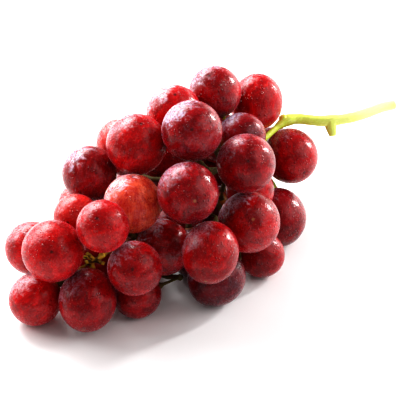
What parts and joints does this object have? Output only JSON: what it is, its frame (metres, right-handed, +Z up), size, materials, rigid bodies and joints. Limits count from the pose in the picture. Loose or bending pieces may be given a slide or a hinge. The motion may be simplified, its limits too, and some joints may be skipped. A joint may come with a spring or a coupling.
{
  "type": "bunch of grapes",
  "caption": "Bunch of large round red table grapes lying on its side, with a branching green stem whose bare stalk sticks out at one end.",
  "frame": {"origin": "on the table under the middle of the bunch's bounding box", "axes": "+X along the bunch from its tip to the cut end of the stalk, +Y level across the bunch, +Z up"},
  "size_m": [0.2042, 0.1182, 0.0848],
  "materials": {
    "plum_grape": "satin skin with a thin waxy bloom",
    "burgundy_grape": "satin skin with a thin waxy bloom",
    "crimson_grape": "satin skin with a thin waxy bloom",
    "coral_grape": "satin skin with a thin waxy bloom",
    "stem": "fresh green, matt"
  },
  "bodies": {
    "root": {"grape_01": "crimson_grape", "grape_02": "coral_grape", "grape_03": "crimson_grape", "grape_04": "burgundy_grape", "grape_05": "plum_grape", "grape_06": "burgundy_grape", "grape_07": "crimson_grape", "grape_08": "coral_grape", "grape_09": "coral_grape", "grape_10": "coral_grape", "grape_11": "plum_grape", "grape_12": "burgundy_grape", "grape_13": "crimson_grape", "grape_14": "plum_grape", "grape_15": "burgundy_grape", "grape_16": "burgundy_grape", "grape_17": "burgundy_grape", "grape_18": "crimson_grape", "grape_19": "burgundy_grape", "grape_20": "plum_grape", "grape_21": "burgundy_grape", "grape_22": "crimson_grape", "grape_23": "plum_grape", "grape_24": "crimson_grape", "grape_25": "burgundy_grape", "grape_26": "crimson_grape", "grape_27": "coral_grape", "grape_28": "burgundy_grape", "grape_29": "burgundy_grape", "grape_30": "crimson_grape", "grape_31": "plum_grape", "grape_32": "burgundy_grape", "grape_33": "burgundy_grape", "grape_34": "burgundy_grape", "grape_35": "burgundy_grape", "grape_36": "plum_grape", "grape_37": "burgundy_grape", "grape_38": "crimson_grape", "grape_39": "burgundy_grape", "grape_40": "crimson_grape", "grape_41": "plum_grape", "grape_42": "burgundy_grape", "grape_43": "crimson_grape", "grape_44": "burgundy_grape", "grape_45": "crimson_grape", "grape_46": "plum_grape", "grape_47": "burgundy_grape", "stem": "stem"}
  },
  "joints": []
}
